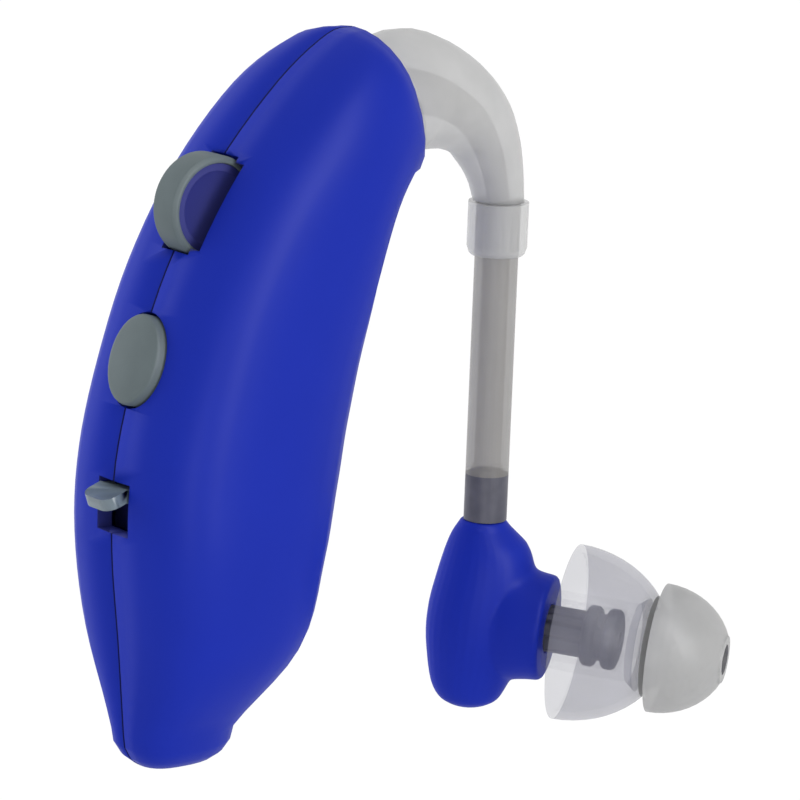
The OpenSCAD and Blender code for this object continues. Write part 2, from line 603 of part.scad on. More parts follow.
// The neck's axis crosses the tube's axis at this share of the elbow's height
neck_rise_share = 0.483;
// Thickness of the elbow from side to side, as a share of its width
elbow_flat_share = 0.88;
elbow_sides = 32;
elbow_span_steps = 3;
bend_t = tube_l + (1 - neck_rise_share) * elbow_h;
// Elbow frame: Z up the tube, X toward the ear, origin where the two axes cross
module at_bend() on_tube(bend_t) rotate([0, 180, 0]) rotate([0, 0, -tip_yaw]) children();
// Along the neck: local Z runs from the bend into the ear
module on_neck(s = 0) at_bend() rotate([0, 90 + tip_droop, 0]) translate([0, 0, s]) children();
module elbow_form() {
    steps = elbow_span_steps * (len(elbow_rise_share) - 1);
    loft([for (i = [0:steps]) let (v = i / steps, a = elbow_w * along(elbow_half_share, v))
        [for (k = [0:elbow_sides - 1]) let (q = 360 * k / elbow_sides)
            [elbow_w * along(elbow_shift_share, v) + a * cos(q),
             a * (v > 0.9 ? 1 : elbow_flat_share) * sin(q),
             elbow_h * (along(elbow_rise_share, v) - neck_rise_share)]]]);
}
neck_bevel = 0.3;
nozzle_seat = 1.8;
// Neck from its root inside the elbow to the bevelled end: taller than wide at the root, round at the end
neck_run_share = [0, 0.4, 0.55, 0.7, 0.85, 1];
neck_tall_share = [0.6, 0.58, 0.555, 0.53, 0.51, 0.5];
neck_wide_share = [0.38, 0.42, 0.45, 0.475, 0.49, 0.5];
function neck_ring(s, tall, wide) = [for (k = [0:elbow_sides - 1]) let (q = 360 * k / elbow_sides)
    [tall * cos(q), wide * sin(q), s]];
module neck_form() loft(concat(
    [for (i = [0:len(neck_run_share) - 1]) neck_ring((neck_l - neck_bevel) * neck_run_share[i],
        neck_dia * neck_tall_share[i], neck_dia * neck_wide_share[i])],
    [neck_ring(neck_l - neck_bevel / 3, neck_dia / 2 - neck_bevel / 3, neck_dia / 2 - neck_bevel / 3),
     neck_ring(neck_l, neck_dia / 2 - neck_bevel, neck_dia / 2 - neck_bevel)]));
module elbow() color(body_blue) difference() {
    union() {
        at_bend() elbow_form();
        on_neck() neck_form();
    }
    on_tube(tube_l - over)
        cylinder(r = spigot_od / 2 + seat_gap, h = bend_t - tube_l + over + spigot_id / 2);
    on_neck(nozzle_seat) cylinder(r = nozzle_dia / 2 + seat_gap, h = neck_l);
    on_neck() cylinder(d = spigot_id, h = neck_l);
}
module tube_stem() color("#5b5b65") on_tube(tube_l - stem_in) difference() {
    cylinder(d = spigot_od, h = stem_in + bend_t - tube_l - nozzle_dia / 2 - 2 * seat_gap);
    translate([0, 0, -over]) cylinder(d = spigot_id, h = bend_t);
}

// Ridged nozzle and the soft ear tip
tip_rear = neck_l + 2 * fit_gap;
// The large flange's rim stands this far ahead of the core's rear end
rim_set = 1.2;
rim_s = tip_rear + rim_set;
nozzle_l = 5.2;
nozzle_end = neck_l + nozzle_l;
ridge_l = 1.1;
ridge_pitch = 1.5;
ridge_bevel = 0.3;
function ridge(s) = [[nozzle_dia / 2, s], [ridge_dia / 2 - ridge_bevel / 2, s + ridge_bevel / 3],
    [ridge_dia / 2, s + ridge_bevel], [ridge_dia / 2, s + ridge_l - ridge_bevel],
    [ridge_dia / 2 - ridge_bevel / 2, s + ridge_l - ridge_bevel / 3], [nozzle_dia / 2, s + ridge_l]];
module ear_nozzle() color("#5b5b65") on_neck() rotate_extrude() polygon(concat(
    [[spigot_id / 2, nozzle_seat + seat_gap], [nozzle_dia / 2, nozzle_seat + seat_gap]],
    ridge(nozzle_end - ridge_l - ridge_pitch), ridge(nozzle_end - ridge_l), [[spigot_id / 2, nozzle_end]]));
core_t = 0.6;
core_in = ridge_dia / 2 + fit_gap;
core_r = core_in + core_t;
nose_s = rim_s + flange_l + cap_l;
// Quarter arch of a flange: radius and length, from its rim at s0 to the turn a1
dome_steps = 10;
function dome(r, l, s0, a1) = [for (k = [0:dome_steps])
    let (a = a1 * k / dome_steps) [r * cos(a), s0 + l * sin(a)]];
function back(list) = [for (i = [len(list) - 1:-1:0]) list[i]];
dome_long = 1.12;
cap_long = 1.06;
// Turns at which the inner and outer arches end, large flange and small
flange_in_turn = 54;
flange_out_turn = 61;
cap_in_turn = 45;
cap_out_turn = 68;
waist = core_r - core_t / 2;
module ear_tip() color("#bcbcc4") on_neck() rotate_extrude($fn = 56) polygon(concat(
    [[core_in, tip_rear], [core_r, tip_rear], [core_r, rim_s + flange_l - 3 * flange_t]],
    back(dome(flange_dia / 2 - flange_t, flange_l * dome_long - flange_t, rim_s, flange_in_turn)),
    dome(flange_dia / 2, flange_l * dome_long, rim_s, flange_out_turn),
    [[waist, rim_s + flange_l + flange_t], [waist, rim_s + flange_l + 2 * flange_t]],
    back(dome(cap_dia / 2 - flange_t, cap_l - flange_t, rim_s + flange_l, cap_in_turn)),
    dome(cap_dia / 2, cap_l * cap_long, rim_s + flange_l, cap_out_turn),
    [[outlet_dia / 2 + flange_t, nose_s], [outlet_dia / 2, nose_s],
     [outlet_dia / 2, nozzle_end + core_t + fit_gap], [core_in, nozzle_end + fit_gap]]));

// Battery door, cell, pin and contacts
door_u_share = [0, 0.36];
door_steps = 12;
module battery_door() color(body_blue) difference() {
    intersection() {
        skin_form(door_u_share[0], door_u_share[1], door_steps, 0);
        union() {
            at_hinge() rod(knuckle_dia / 2, -door_half, door_half);
            in_plane(cell_p) rod(cup_r, -door_half, door_half);
            difference() {
                intersection() {
                    at_hinge() rod(door_r, -door_half, door_half);
                    at_hinge() translate([-door_r - over, -door_half, -bay_in])
                        cube([door_r + over, 2 * door_half, bay_in + door_r]);
                }
                skin_form(door_u_share[0], door_u_share[1], door_steps, door_skin);
            }
        }
    }
    in_plane(cell_p) rod(cell_dia / 2 + seat_gap, -cell_t / 2 - seat_gap, body_w);
    in_plane(cell_p) rod(cell_dia / 4, -body_w, body_w);
    at_hinge() rod(pin_dia / 2 + fit_gap, -body_w, body_w);
}
module battery_cell() color("#b9bcc0") in_plane(cell_p) rod(cell_dia / 2, -cell_t / 2, cell_t / 2);
module hinge_pin() color("#b9bcc0") at_hinge()
    rod(pin_dia / 2, -door_half - pin_dia * 0.9, door_half + pin_dia * 0.9);
contact_t = 0.3;
contact_l = 3;
module cell_contact() color("#b08d57") in_plane(cell_p) for (y = [-bay_half - contact_t, bay_half])
    translate([-contact_l / 2, y, -contact_l / 4]) cube([contact_l, contact_t, contact_l / 2]);

placed() left_shell();
placed() right_shell();
placed() volume_wheel();
placed() wheel_disc();
placed() wheel_shaft();
placed() volume_control();
placed() push_button();
placed() button_switch();
placed() power_lever();
placed() slide_switch();
placed() circuit_board();
placed() amplifier_chip();
placed() capacitor();
placed() microphone();
placed() microphone_boot();
placed() receiver();
placed() receiver_boot();
placed() inner_tube();
placed() hook_nozzle();
placed() ear_hook();
placed() tube_collar();
placed() sound_tube();
placed() tube_stem();
placed() elbow();
placed() ear_nozzle();
placed() ear_tip();
placed() battery_door();
placed() battery_cell();
placed() hinge_pin();
placed() cell_contact();
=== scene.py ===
import json
import math

import bpy
from mathutils import Matrix, Vector

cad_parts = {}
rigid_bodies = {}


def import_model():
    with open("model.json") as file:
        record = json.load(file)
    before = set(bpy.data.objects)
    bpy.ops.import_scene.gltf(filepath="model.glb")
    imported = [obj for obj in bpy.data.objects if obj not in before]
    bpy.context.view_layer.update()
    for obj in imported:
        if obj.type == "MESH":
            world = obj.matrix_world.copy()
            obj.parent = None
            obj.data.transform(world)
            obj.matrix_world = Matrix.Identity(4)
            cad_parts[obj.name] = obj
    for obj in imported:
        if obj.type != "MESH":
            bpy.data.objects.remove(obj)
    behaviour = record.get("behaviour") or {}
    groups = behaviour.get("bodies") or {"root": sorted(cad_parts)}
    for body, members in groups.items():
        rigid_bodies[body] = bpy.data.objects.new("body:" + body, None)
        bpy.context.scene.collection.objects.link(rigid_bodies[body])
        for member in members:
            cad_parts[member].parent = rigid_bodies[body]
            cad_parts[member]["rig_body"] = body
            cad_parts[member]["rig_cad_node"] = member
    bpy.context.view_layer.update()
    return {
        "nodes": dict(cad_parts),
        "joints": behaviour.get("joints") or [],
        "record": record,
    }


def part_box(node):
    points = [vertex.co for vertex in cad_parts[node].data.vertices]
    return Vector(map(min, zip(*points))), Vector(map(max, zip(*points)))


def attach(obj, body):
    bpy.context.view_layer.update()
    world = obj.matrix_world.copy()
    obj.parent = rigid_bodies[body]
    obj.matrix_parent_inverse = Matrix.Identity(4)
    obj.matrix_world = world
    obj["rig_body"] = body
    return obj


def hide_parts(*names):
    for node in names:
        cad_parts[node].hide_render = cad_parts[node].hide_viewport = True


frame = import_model()

bl_info = {
    "name": "Behind-the-ear hearing aid",
    "version": (1, 0, 0),
    "blender": (4, 5, 0),
    "location": "View3D > Sidebar > Hearing aid",
    "description": "Dresses the packed hearing aid: housing, controls, hook and tube, elbow and ear tip",
    "category": "Add Mesh",
}

MM = 0.001
JOINTS = {j["name"]: j for j in frame["joints"]}
# The camera: the middle of its frame in the part's own axes, its sensor, and its focal length in pixels of an
# 800 pixel frame
LOOK_AT = Vector((-2.73, 0.0, -17.6)) * MM
SENSOR = 36.0
FOCAL_PX, FRAME_PX = 4290, 800


# Settings

class HousingLook(bpy.types.PropertyGroup):
    shell: bpy.props.StringProperty(name="Shell", description="Colour of the moulded shells",
                                    default="1A2DA3")
    # The seam colour is painted shade: the dark of the parting line's narrow groove
    seam: bpy.props.StringProperty(name="Seam", description="Colour in the parting line's groove",
                                   default="0B1048")
    # The recess colour is painted shade: a navy of its own for the dark inside the slots
    recess: bpy.props.StringProperty(name="Recess", description="Colour inside the slots", default="343A8C")
    neck_blend: bpy.props.IntProperty(name="Neck blend", description="How far the elbow's neck is blended in",
                                      default=60)
    elbow_grain: bpy.props.FloatProperty(name="Elbow grain", description="Size of the elbow's skin cells",
                                         default=0.14 * MM, subtype="DISTANCE")
    edge: bpy.props.FloatProperty(name="Edge", description="Angle over which an edge stays sharp",
                                  default=math.radians(32), subtype="ANGLE")


class ControlLook(bpy.types.PropertyGroup):
    grey: bpy.props.StringProperty(name="Grey", description="Colour of the rim and the button",
                                   default="626D70")
    lever: bpy.props.StringProperty(name="Lever", description="Colour of the power lever", default="6F7D86")
    disc: bpy.props.StringProperty(name="Disc", description="Colour of the wheel's disc", default="32367F")
    rim_bevel: bpy.props.FloatProperty(name="Rim bevel", description="Rounding of the wheel's rim",
                                       default=0.08 * MM, subtype="DISTANCE")
    disc_margin: bpy.props.FloatProperty(name="Disc margin", description="Width of the disc's raised margin",
                                         default=0.5 * MM, subtype="DISTANCE")
    disc_slope: bpy.props.FloatProperty(name="Disc slope", description="Width of the slope inside the margin",
                                        default=0.12 * MM, subtype="DISTANCE")
    disc_depth: bpy.props.FloatProperty(name="Disc depth", description="Depth of the disc's middle",
                                        default=0.1 * MM, subtype="DISTANCE")
    button_round: bpy.props.FloatProperty(name="Button rounding", description="Rounding of the button's edge",
                                          default=0.22 * MM, subtype="DISTANCE")
    lever_corner: bpy.props.FloatProperty(name="Lever corners",
                                          description="Rounding of the paddle's corners",
                                          default=0.9 * MM, subtype="DISTANCE")
    lever_round: bpy.props.FloatProperty(name="Lever rounding", description="Rounding of the lever's edges",
                                         default=0.2 * MM, subtype="DISTANCE")


class ClearLook(bpy.types.PropertyGroup):
    hook: bpy.props.StringProperty(name="Hook", description="Colour of the clear hook's plastic",
                                   default="C4C4C4")
    # The hook's bore colour is painted shade: the dark of the passage
    hook_bore_shade: bpy.props.StringProperty(name="Hook bore", description="Colour of the hook's bore",
                                        default="7C7874")
    collar: bpy.props.StringProperty(name="Collar", description="Colour of the milky collar",
                                     default="CACACA")
    tube: bpy.props.StringProperty(name="Tube", description="Colour of the tube's wall", default="969492")
    # The tube's bore colour is painted shade: the dark of the passage
    tube_bore_shade: bpy.props.StringProperty(name="Tube bore", description="Colour of the tube's bore",
                                        default="948F87")
    lens: bpy.props.StringProperty(name="Over the stem",
                                   description="Colour of the tube's wall over the stem",
                                   default="5C5C66")
    stem: bpy.props.StringProperty(name="Stem", description="Colour of the stem and the nozzle",
                                   default="3C3C48")


class TipLook(bpy.types.PropertyGroup):
    flange: bpy.props.StringProperty(name="Flange", description="Colour of the large flange",
                                     default="9494A2")
    cap: bpy.props.StringProperty(name="Cap", description="Colour of the small flange", default="ADADAD")
    flange_alpha: bpy.props.FloatProperty(name="Flange opacity",
                                          description="Opacity of the large flange's wall",
                                          default=0.4, min=0.0, max=1.0)
    cap_alpha: bpy.props.FloatProperty(name="Cap opacity", description="Opacity of the small flange's wall",
                                       default=0.94, min=0.0, max=1.0)


class StageLook(bpy.types.PropertyGroup):
    azimuth: bpy.props.FloatProperty(name="Azimuth", description="Camera's turn about the part",
                                     default=math.radians(-40), subtype="ANGLE")
    elevation: bpy.props.FloatProperty(name="Elevation", description="Camera's height angle",
                                       default=math.radians(15), subtype="ANGLE")
    distance: bpy.props.FloatProperty(name="Distance", description="Camera's distance", default=0.3,
                                      subtype="DISTANCE")
    ambient: bpy.props.FloatProperty(name="Ambient", description="Strength of the even light", default=0.8)


# Name, way from the part, distance, width, height, watts, and whether it is seen in reflections alone.
# One box behind lights the spine and a tall one in front the cheek: the turn between them stays darker.
# The sheen strips give the cheek, the crown and the elbow their long soft light.
LAMPS = (
    ("Spine light", (-0.27, 1.0, 0.08), 0.5, 0.4, 0.4, 1.95, False),
    ("Cheek light", (0.06, -1.0, 0.16), 0.5, 0.14, 0.5, 1.1, False),
    ("Cheek sheen", (0.0, -1.0, 0.1), 0.5, 0.12, 0.4, 4.6, True),
    ("Crown sheen", (-0.1, -0.75, 0.75), 0.5, 0.14, 0.4, 3.6, True),
    ("Low sheen", (-0.75, -0.7, 0.0), 0.5, 0.14, 0.12, 1.3, True))
FLOOR_Z = -62 * MM
FLOOR_SIDE = 4.0
# Share of the floor that shows plain white to the camera; the rest keeps the part's shadow
FLOOR_WHITE = 0.9
FLOOR_GLOW = 1.03


# Tools of the bench

def lin(text, alpha=1.0):
    """Linear colour of an sRGB hex value."""
    out = []
    for k in (0, 2, 4):
        c = int(text[k:k + 2], 16) / 255
        out.append(c / 12.92 if c <= 0.04045 else ((c + 0.055) / 1.055) ** 2.4)
    return (*out, alpha)


def add(tree, kind, links=None, **settings):
    """Adds a node: a setting with a capital is a socket, any other is a property of the node."""
    n = tree.nodes.new(kind)
    for k, v in settings.items():
        if k[0].isupper():
            n.inputs[k.replace("_", " ")].default_value = v
        else:
            setattr(n, k, v)
    for k, source in (links or {}).items():
        tree.links.new(source, n.inputs[k])
    return n


def surface(name, hex_colour, vary=0.06, grain=3.0, bump=0.0, bump_mm=0.3, alpha=1.0, **shader):
    """Plastic, metal or rubber whose colour drifts a little over grain millimetres, with a fine bump."""
    m = bpy.data.materials.new(name)
    m.use_nodes = True
    m.diffuse_color = lin(hex_colour, alpha)
    t = m.node_tree
    t.nodes.clear()
    place = add(t, "ShaderNodeTexCoord")
    cloud = add(t, "ShaderNodeTexNoise", {"Vector": place.outputs["Object"]}, Scale=1 / (grain * MM),
                Detail=2.0)
    ramp = add(t, "ShaderNodeValToRGB", {"Fac": cloud.outputs["Fac"]})
    base = lin(hex_colour)
    for e, k in zip(ramp.color_ramp.elements, (1 - vary, 1 + vary)):
        e.color = (*[min(c * k, 1.0) for c in base[:3]], 1.0)
    ramp.color_ramp.elements[0].position = 0.3
    ramp.color_ramp.elements[1].position = 0.7
    skin = add(t, "ShaderNodeBsdfPrincipled", {"Base Color": ramp.outputs["Color"]}, Alpha=alpha,
               **shader)
    if bump:
        pores = add(t, "ShaderNodeTexNoise", {"Vector": place.outputs["Object"]}, Scale=1 / (bump_mm * MM),
                    Detail=1.0)
        low = add(t, "ShaderNodeBump", {"Height": pores.outputs["Fac"]}, Strength=bump, Distance=0.02 * MM)
        t.links.new(low.outputs["Normal"], skin.inputs["Normal"])
    add(t, "ShaderNodeOutputMaterial", {"Surface": skin.outputs["BSDF"]})
    return m


def seen_by(tree, path):
    """1 for rays from the camera and for those that glass or metal sends on, otherwise 0."""
    clear = add(tree, "ShaderNodeMath", {0: path.outputs["Is Camera Ray"],
                                         1: path.outputs["Is Transmission Ray"]}, operation="MAXIMUM")
    return add(tree, "ShaderNodeMath", {0: clear.outputs[0], 1: path.outputs["Is Glossy Ray"]},
               operation="MAXIMUM")


def only(*pieces):
    """Selects these pieces and nothing else."""
    bpy.ops.object.select_all(action="DESELECT")
    for p in pieces:
        p.select_set(True)
    bpy.context.view_layer.objects.active = pieces[0]


def edit(piece):
    """Opens the piece for editing with nothing selected."""
    only(piece)
    bpy.ops.object.mode_set(mode="EDIT")
    bpy.ops.mesh.select_all(action="DESELECT")


def done():
    """Leaves edit mode."""
    bpy.ops.object.mode_set(mode="OBJECT")


def pick_faces(piece, test):
    """Selects the faces whose centre and normal pass the test, and gives their number."""
    done()
    found = 0
    for p in piece.data.polygons:
        p.select = bool(test(p.center, p.normal))
        found += p.select
    bpy.ops.object.mode_set(mode="EDIT")
    return found


def twin(node, name):
    """A copy of a CAD node whose loose triangles are merged into one skin."""
    source = frame["nodes"][node]
    piece = source.copy()
    piece.data = source.data.copy()
    piece.name = piece.data.name = name
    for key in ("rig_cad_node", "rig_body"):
        if key in piece:
            del piece[key]
    piece.parent = None
    piece.matrix_world = Matrix.Identity(4)
    bpy.context.scene.collection.objects.link(piece)
    edit(piece)
    bpy.ops.mesh.select_all(action="SELECT")
    bpy.ops.mesh.remove_doubles(threshold=0.002 * MM)
    done()
    piece.data.materials.clear()
    return piece


def coat(piece, *materials):
    """Gives the piece these materials and no others."""
    piece.data.materials.clear()
    for m in materials:
        piece.data.materials.append(m)


def dress(piece, body, slot, *nodes):
    """The piece rides on its body and stands for its CAD nodes; the slot is not used."""
    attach(piece, body)
    if nodes:
        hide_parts(*nodes)
    return piece


def smooth(piece, angle):
    """Smooth shading with sharp edges over the angle."""
    only(piece)
    bpy.ops.object.shade_smooth_by_angle(angle=angle)


def apply(piece, kind, **settings):
    """Adds a modifier and applies it."""
    only(piece)
    m = piece.modifiers.new(kind.title(), kind)
    for k, v in settings.items():
        setattr(m, k, v)
    bpy.ops.object.modifier_apply(modifier=m.name)


def paint(piece, index, test):
    """Gives the faces that pass the test the material of that index."""
    edit(piece)
    if not pick_faces(piece, test):
        raise RuntimeError(f"{piece.name}: no face takes material {index}")
    piece.active_material_index = index
    bpy.ops.object.material_slot_assign()
    done()


# Places on the part

WHEEL = Vector(JOINTS["volume_turn"]["pos_m"])
WHEEL_R = (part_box("volume_wheel")[1].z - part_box("volume_wheel")[0].z) / 2
UP_TUBE = Vector(JOINTS["elbow_swivel"]["axis"]).normalized()
TUBE_END = Vector(JOINTS["elbow_swivel"]["pos_m"])
EAR_WAY = Vector(JOINTS["tip_pull"]["axis"]).normalized()
MOUNTS = {m["name"]: m for m in frame["record"]["mounts"]}
# The middle of the ear tip's nose, where its sound outlet opens
NOSE = Vector(MOUNTS["ear_canal"]["pos_m"])
# Where the elbow's neck leaves the tube's axis
BEND = NOSE - EAR_WAY * 18 * MM
SLIDE = Vector(JOINTS["power_slide"]["axis"]).normalized()

# Half width of the parting line's groove, whose faces take a painted shade
SEAM_HALF = 0.09 * MM
# The wheel's recess: gap round the wheel, where the fingertip recess starts beside it, and its far side
WHEEL_GAP = 0.22 * MM
RECESS_FROM, RECESS_TO = 1.3 * MM, 2.6 * MM
# The lever's slot round the lever at rest: below, above, in from the paddle's tip, past its root, half width
SLOT_BELOW, SLOT_ABOVE = 2.4 * MM, 0.6 * MM
SLOT_IN, SLOT_PAST, SLOT_HALF = 1.3 * MM, 1.0 * MM, 1.72 * MM
# The paddle's end and the half width where its outer corners start
PADDLE_END, PADDLE_HALF, LEVEL = 0.6 * MM, 1.0 * MM, 0.1 * MM
# A face of the hook's bore sees the bore's other side within this distance
BORE_REACH = 3.6 * MM
# The tube: how far the stem reaches up, and the radii between bore and outer skin
STEM_TOP = 3.4 * MM
BORE_SKIN, TUBE_SKIN = 1.2 * MM, 1.3 * MM
# The crease round the neck's root: its place along the neck, its reach, and what is left of it outside
ROOT_AT, ROOT_REACH = 3.4 * MM, 1.5 * MM
ROOT_R, ROOT_TOP = 2.6 * MM, 5.5 * MM
# The ear tip, back from its nose: the outlet's rim, the small flange, and the core with its radius
OUTLET, CAP, CORE = -1.8 * MM, -5.4 * MM, -6.6 * MM
CORE_R = 3.0 * MM


def inner_face(c, n):
    """Faces of the ear tip that look at its axis or back along it."""
    d = c - NOSE
    out = (d - EAR_WAY * d.dot(EAR_WAY)).normalized()
    return n.dot(out) + n.dot(EAR_WAY) < 0.05


def in_slot(c, n):
    """Faces of the shells inside the wheel's recess or the lever's slot, which take a painted shade."""
    d = c - WHEEL
    at_wheel = math.hypot(d.x, d.z) < WHEEL_R + WHEEL_GAP and abs(c.y) < RECESS_TO
    beside = c.y < -RECESS_FROM and n.dot(Vector((d.x, 0, d.z)).normalized()) < -0.5
    if at_wheel and (abs(n.y) > 0.95 or beside):
        return True
    low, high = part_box("power_lever")
    near = low.z - SLOT_BELOW < c.z < high.z + SLOT_ABOVE and low.x + SLOT_IN < c.x < high.x + SLOT_PAST
    return near and abs(c.y) < SLOT_HALF and (abs(n.y) > 0.95 or abs(n.dot(SLIDE)) > 0.95)


def in_seam(c, n):
    """Faces of the shells in the parting line's groove, which take a painted shade."""
    return abs(c.y) < SEAM_HALF and 0.3 < abs(n.y) < 0.98


def off_axis(p, on, way):
    """Distance of a point from an axis, and its place along it."""
    d = p - on
    s = d.dot(way)
    return (d - way * s).length, s


# Operators

class HEARING_AID_OT_stage(bpy.types.Operator):
    """Floor, soft lights, white surround and the camera"""
    bl_idname = "hearing_aid.stage"
    bl_label = "Stage"

    def execute(self, context):
        look = context.scene.ha_stage
        world = bpy.data.worlds.new("White surround")
        context.scene.world = world
        world.use_nodes = True
        t = world.node_tree
        t.nodes.clear()
        path = add(t, "ShaderNodeLightPath")
        seen = seen_by(t, path)
        even = add(t, "ShaderNodeBackground", Color=(1, 1, 1, 1), Strength=look.ambient)
        white = add(t, "ShaderNodeBackground", Color=(1, 1, 1, 1), Strength=1.0)
        both = add(t, "ShaderNodeMixShader", {0: seen.outputs[0], 1: even.outputs[0], 2: white.outputs[0]})
        add(t, "ShaderNodeOutputWorld", {"Surface": both.outputs[0]})

        bpy.ops.object.select_all(action="DESELECT")
        bpy.ops.mesh.primitive_plane_add(size=FLOOR_SIDE, location=(0, 0, FLOOR_Z))
        floor = context.object
        floor.name = "Floor"
        m = bpy.data.materials.new("Pale floor")
        m.use_nodes = True
        t = m.node_tree
        t.nodes.clear()
        path = add(t, "ShaderNodeLightPath")
        dull = add(t, "ShaderNodeBsdfDiffuse", Color=(0.9, 0.9, 0.9, 1))
        glow = add(t, "ShaderNodeEmission", Color=(1, 1, 1, 1), Strength=FLOOR_GLOW)
        seen = seen_by(t, path)
        part = add(t, "ShaderNodeMath", {0: seen.outputs[0]}, operation="MULTIPLY")
        part.inputs[1].default_value = FLOOR_WHITE
        both = add(t, "ShaderNodeMixShader", {0: part.outputs[0], 1: dull.outputs[0], 2: glow.outputs[0]})
        add(t, "ShaderNodeOutputMaterial", {"Surface": both.outputs[0]})
        coat(floor, m)

        for name, way, far, size, high, power, sheen in LAMPS:
            lamp = bpy.data.lights.new(name, "AREA")
            lamp.shape = "RECTANGLE"
            lamp.size, lamp.size_y, lamp.energy = size, high, power
            o = bpy.data.objects.new(name, lamp)
            o.visible_diffuse, o.visible_glossy = not sheen, sheen
            context.scene.collection.objects.link(o)
            v = Vector(way).normalized()
            o.location = LOOK_AT + v * far
            o.rotation_euler = v.to_track_quat("Z", "Y").to_euler()

        a, e = look.azimuth, look.elevation
        back = Vector((math.sin(a) * math.cos(e), -math.cos(a) * math.cos(e), math.sin(e)))
        cam = bpy.data.cameras.new("Camera")
        cam.sensor_width = SENSOR
        cam.lens = FOCAL_PX / FRAME_PX * SENSOR
        cam.clip_start, cam.clip_end = 0.01, 10.0
        o = bpy.data.objects.new("Camera", cam)
        context.scene.collection.objects.link(o)
        o.location = LOOK_AT + back * look.distance
        o.rotation_euler = back.to_track_quat("Z", "Y").to_euler()
        context.scene.camera = o
        context.scene.view_settings.view_transform = "Standard"
        return {"FINISHED"}


class HEARING_AID_OT_housing(bpy.types.Operator):
    """Moulded shells with their parting line, slots and battery door"""
    bl_idname = "hearing_aid.housing"
    bl_label = "Housing"

    def execute(self, context):
        look = context.scene.ha_housing
        # Polished ABS: an even colour, a broad soft highlight and a skin that is almost free of grain
        shell = surface("Moulded ABS blue", look.shell, vary=0.03, grain=9.0, bump=0.05, bump_mm=0.5,
                        Roughness=0.45, Specular_IOR_Level=0.04, IOR=1.53)
        # The same ABS with the shade of its narrow groove painted in: it reads as a fine dark line
        seam = surface("Parting line painted shade", look.seam, vary=0.02, Roughness=0.8, Specular_IOR_Level=0.1,
                       IOR=1.53)
        # Unpolished ABS inside the slots, dull, with a navy of its own that is painted shade
        recess = surface("Recess painted shade", look.recess, vary=0.05, Roughness=0.6, Specular_IOR_Level=0.15,
                         IOR=1.53)
        for node in ("left_shell", "right_shell"):
            piece = twin(node, node + "_moulded")
            coat(piece, shell, seam, recess)
            smooth(piece, look.edge)
            # Painted shade: the groove's faces take the dark seam colour
            paint(piece, 1, in_seam)
            # Painted shade: the faces inside the slots take the recess navy
            paint(piece, 2, in_slot)
            dress(piece, "housing", "shell_blue", node)
        door = twin("battery_door", "battery_door_moulded")
        coat(door, shell)
        smooth(door, look.edge)
        dress(door, "door", "shell_blue", "battery_door")
        return {"FINISHED"}


class HEARING_AID_OT_wheel(bpy.types.Operator):
    """Volume wheel's rim and its dark disc"""
    bl_idname = "hearing_aid.wheel"
    bl_label = "Volume wheel"

    def execute(self, context):
        look = context.scene.ha_control
        # Satin-textured ABS: a mid grey with a dull sheen and a fine grip texture
        grey = surface("Satin ABS grey", look.grey, vary=0.04, grain=2.0, bump=0.25, bump_mm=0.12,
                       Roughness=0.55, Specular_IOR_Level=0.12, IOR=1.53)
        # Acetal: dark, smooth and a little waxy
        dark = surface("Acetal dark blue", look.disc, vary=0.05, grain=3.0, Roughness=0.45,
                       Specular_IOR_Level=0.25, IOR=1.48)
        rim = twin("volume_wheel", "wheel_rim_moulded")
        apply(rim, "BEVEL", width=look.rim_bevel, segments=3, limit_method="ANGLE",
              angle_limit=math.radians(30))
        coat(rim, grey)
        smooth(rim, math.radians(45))
        dress(rim, "wheel", "wheel_grey", "volume_wheel")

        disc = twin("wheel_disc", "wheel_disc_moulded")
        edit(disc)
        pick_faces(disc, lambda c, n: n.y < -0.95)
        bpy.ops.mesh.dissolve_faces()
        bpy.ops.mesh.inset(thickness=look.disc_margin)
        bpy.ops.mesh.inset(thickness=look.disc_slope, depth=-look.disc_depth)
        done()
        coat(disc, dark)
        smooth(disc, math.radians(30))
        dress(disc, "wheel", "dark_blue", "wheel_disc")
        return {"FINISHED"}


class HEARING_AID_OT_button(bpy.types.Operator):
    """Oval push button with a rounded edge"""
    bl_idname = "hearing_aid.button"
    bl_label = "Push button"

    def execute(self, context):
        look = context.scene.ha_control
        grey = bpy.data.materials["Satin ABS grey"]
        piece = twin("push_button", "push_button_moulded")
        apply(piece, "BEVEL", width=look.button_round, segments=3, limit_method="ANGLE",
              angle_limit=math.radians(28))
        coat(piece, grey)
        smooth(piece, math.radians(40))
        dress(piece, "button", "wheel_grey", "push_button")
        return {"FINISHED"}


class HEARING_AID_OT_lever(bpy.types.Operator):
    """Power lever with rounded edges"""
    bl_idname = "hearing_aid.lever"
    bl_label = "Power lever"

    def execute(self, context):
        look = context.scene.ha_control
        # The same ABS, polished by fingers: glossier than the button
        polished = surface("Polished ABS grey", look.lever, vary=0.04, grain=2.0, Roughness=0.35,
                           Specular_IOR_Level=0.35, IOR=1.53)
        piece = twin("power_lever", "power_lever_moulded")
        edit(piece)
        bpy.ops.mesh.select_all(action="SELECT")
        bpy.ops.mesh.dissolve_limited(angle_limit=math.radians(1))
        done()
        # The four corners of the paddle's outer end first, then every edge
        edit(piece)
        bpy.ops.mesh.select_mode(type="EDGE")
        done()
        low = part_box("power_lever")[0]
        for e in piece.data.edges:
            a, b = (piece.data.vertices[i].co for i in e.vertices)
            outer = max(a.x, b.x) < low.x + PADDLE_END
            e.select = outer and abs(a.y - b.y) < LEVEL and abs(a.y) > PADDLE_HALF
        bpy.ops.object.mode_set(mode="EDIT")
        bpy.ops.mesh.bevel(offset=look.lever_corner, segments=6)
        bpy.ops.mesh.select_mode(type="VERT")
        done()
        apply(piece, "BEVEL", width=look.lever_round, segments=3, limit_method="ANGLE",
              angle_limit=math.radians(40))
        coat(piece, polished)
        smooth(piece, math.radians(40))
        dress(piece, "lever", "wheel_grey", "power_lever")
        return {"FINISHED"}


